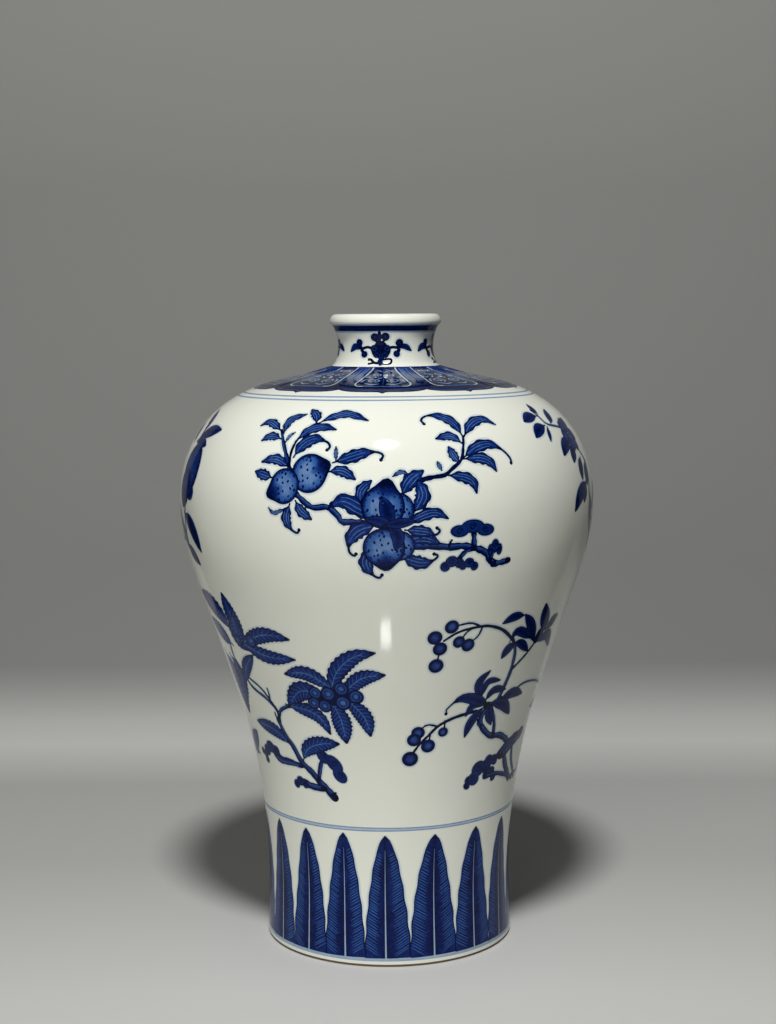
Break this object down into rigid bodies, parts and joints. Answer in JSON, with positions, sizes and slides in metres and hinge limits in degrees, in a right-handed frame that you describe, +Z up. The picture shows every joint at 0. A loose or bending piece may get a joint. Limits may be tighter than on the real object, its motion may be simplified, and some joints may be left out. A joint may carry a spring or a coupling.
{
  "type": "meiping vase",
  "caption": "High-shouldered porcelain vase with a narrow neck and a rolled lip, painted in underglaze blue with fruit sprays, standing on a turned foot ring.",
  "frame": {"origin": "centre of the foot, on the surface that the vase stands on", "axes": "+Z up along the axis of the vase, -Y towards the side that the picture shows"},
  "size_m": [0.2178, 0.2176, 0.33],
  "materials": {
    "porcelain_clay": "fired, bare",
    "luting_slip": "fired, bare",
    "clear_glaze": "gloss, faintly blue-green",
    "painted_glaze": "gloss over cobalt painting"
  },
  "bodies": {
    "root": {"lower_body": "porcelain_clay", "body_slip_seam": "luting_slip", "upper_body": "porcelain_clay", "neck_slip_seam": "luting_slip", "neck_and_lip": "porcelain_clay", "inner_glaze": "clear_glaze", "base_glaze": "clear_glaze", "outer_glaze": "painted_glaze"}
  },
  "joints": []
}
